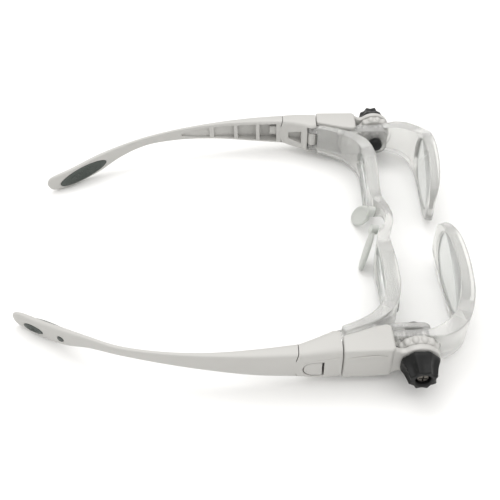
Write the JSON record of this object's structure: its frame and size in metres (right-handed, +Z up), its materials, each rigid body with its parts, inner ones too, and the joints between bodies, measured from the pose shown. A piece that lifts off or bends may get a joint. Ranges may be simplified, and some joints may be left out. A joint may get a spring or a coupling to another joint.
{
  "type": "head-worn binocular magnifier",
  "caption": "Spectacle-style head-worn binocular magnifier: clear front frame, eyepiece and objective lenses, side focus knobs, folding plug-in temple arms.",
  "frame": {"origin": "middle of the object's footprint, on the table it stands on", "axes": "+X forward, the way the wearer looks; +Y to the wearer's left; +Z up"},
  "size_m": [0.1846, 0.1618, 0.0295],
  "materials": {
    "clear_plastic": "clear moulded plastic, lightly frosted inside faces",
    "lens_plastic": "polished optical plastic",
    "clear_silicone": "translucent satin silicone",
    "white_plastic": "satin white moulded plastic",
    "black_plastic": "soft-touch black plastic",
    "grey_rubber": "matte dark grey rubber",
    "steel": "turned steel"
  },
  "bodies": {
    "frame": {"front_frame": "clear_plastic", "eyepiece_lens_left": "lens_plastic", "nose_pad_left": "clear_silicone", "side_cover_left": "white_plastic", "hinge_pin_left": "steel", "eyepiece_lens_right": "lens_plastic", "nose_pad_right": "clear_silicone", "side_cover_right": "white_plastic", "hinge_pin_right": "steel"},
    "temple_left": {"hinge_block_left": "white_plastic", "temple_arm_left": "white_plastic", "grip_pad_inner_left": "grey_rubber", "grip_pad_outer_left": "grey_rubber", "cord_plug_left": "grey_rubber"},
    "button_left": {"release_button_left": "white_plastic"},
    "carriage_left": {"lens_arm_left": "clear_plastic", "objective_lens_left": "lens_plastic"},
    "drive_left": {"focus_knob_left": "black_plastic", "knob_screw_left": "steel", "index_wheel_left": "white_plastic", "pinion_shaft_left": "steel", "shaft_cap_left": "black_plastic"},
    "temple_right": {"hinge_block_right": "white_plastic", "temple_arm_right": "white_plastic", "grip_pad_inner_right": "grey_rubber", "grip_pad_outer_right": "grey_rubber", "cord_plug_right": "grey_rubber"},
    "button_right": {"release_button_right": "white_plastic"},
    "carriage_right": {"lens_arm_right": "clear_plastic", "objective_lens_right": "lens_plastic"},
    "drive_right": {"focus_knob_right": "black_plastic", "knob_screw_right": "steel", "index_wheel_right": "white_plastic", "pinion_shaft_right": "steel", "shaft_cap_right": "black_plastic"}
  },
  "joints": [
    {"name": "temple_fold_left", "type": "hinge", "parent": "frame", "child": "temple_left", "pos_m": [0.03725, 0.0641, 0.0118], "axis": [0, 0.0523, 0.9986], "range_deg": [0, 66]},
    {"name": "button_press_left", "type": "slide", "parent": "temple_left", "child": "button_left", "axis": [0, -1, 0], "range_m": [0, 0.001], "stiffness_N_per_m": 300, "springref_m": -0.0005},
    {"name": "knob_turn_left", "type": "hinge", "parent": "frame", "child": "drive_left", "pos_m": [0.06795, 0.0635, 0.0118], "axis": [0, 1, 0], "range_deg": [0, 131.26]},
    {"name": "focus_slide_left", "type": "slide", "parent": "frame", "child": "carriage_left", "axis": [1, 0, 0], "range_m": [0, 0.007]},
    {"name": "temple_fold_right", "type": "hinge", "parent": "frame", "child": "temple_right", "pos_m": [0.03725, -0.0641, 0.0118], "axis": [0, -0.0523, -0.9986], "range_deg": [0, 66]},
    {"name": "button_press_right", "type": "slide", "parent": "temple_right", "child": "button_right", "axis": [0, 1, 0], "range_m": [0, 0.001], "stiffness_N_per_m": 300, "springref_m": -0.0005},
    {"name": "knob_turn_right", "type": "hinge", "parent": "frame", "child": "drive_right", "pos_m": [0.06795, -0.0635, 0.0118], "axis": [0, 1, 0], "range_deg": [0, 131.26]},
    {"name": "focus_slide_right", "type": "slide", "parent": "frame", "child": "carriage_right", "axis": [1, 0, 0], "range_m": [0, 0.007]}
  ],
  "couplings": [
    {"joint": "knob_turn_left", "follows": "focus_slide_left", "rad_per_m": 327.25},
    {"joint": "knob_turn_right", "follows": "focus_slide_right", "rad_per_m": 327.25}
  ]
}
